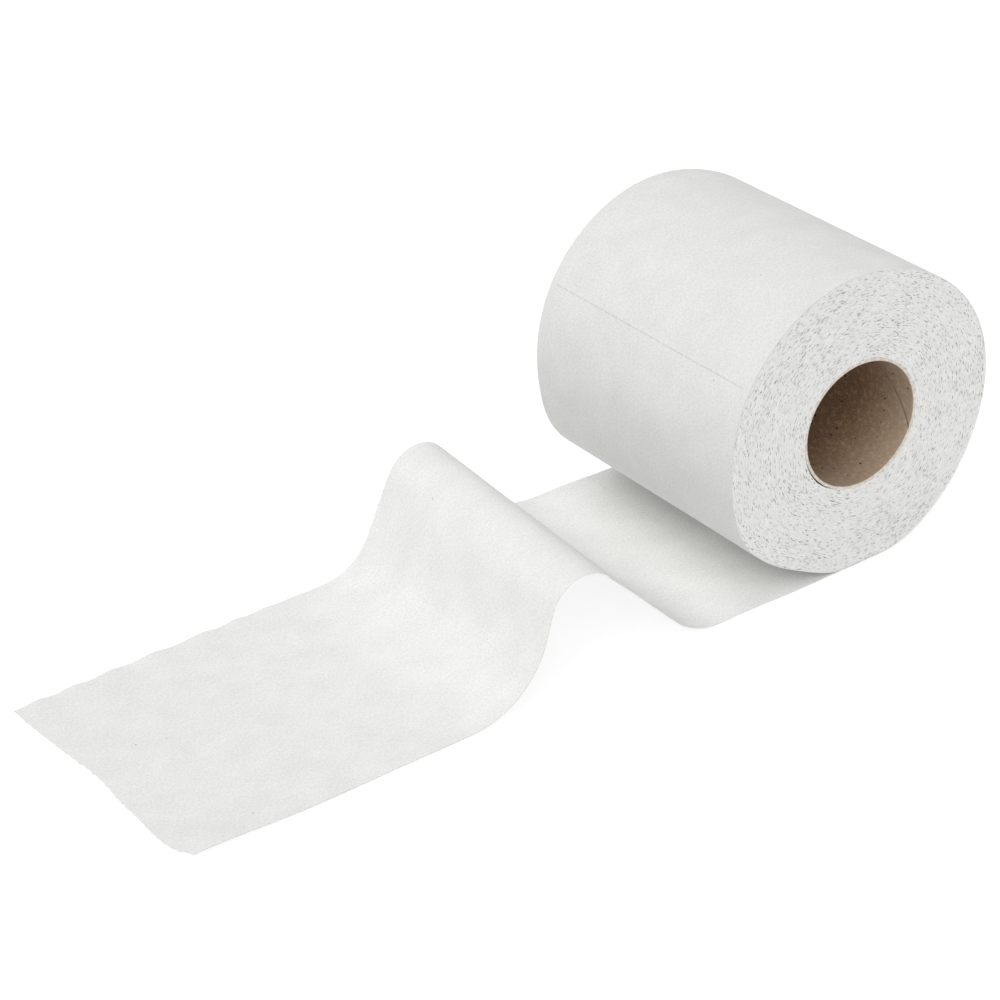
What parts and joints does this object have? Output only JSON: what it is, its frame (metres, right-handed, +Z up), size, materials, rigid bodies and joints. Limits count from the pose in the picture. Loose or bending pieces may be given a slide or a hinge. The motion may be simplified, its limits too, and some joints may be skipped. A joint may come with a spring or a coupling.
{
  "type": "toilet paper roll",
  "caption": "Roll of soft white toilet tissue on a board core, lying on its side with its loose end drawn out and raised in a hump.",
  "frame": {"origin": "on the surface the roll stands on, straight under the middle of the roll's axis", "axes": "+Z up, Y along the roll's axis with the fully shown end at -Y, and the loose end running off towards -X"},
  "size_m": [0.3015, 0.1, 0.1012],
  "materials": {
    "tissue": "soft white two-ply tissue, lightly creped, matt",
    "core_board": "grey-brown spiral-wound board, matt, with dark flecks"
  },
  "bodies": {
    "root": {"paper": "tissue", "core": "core_board"}
  },
  "joints": []
}
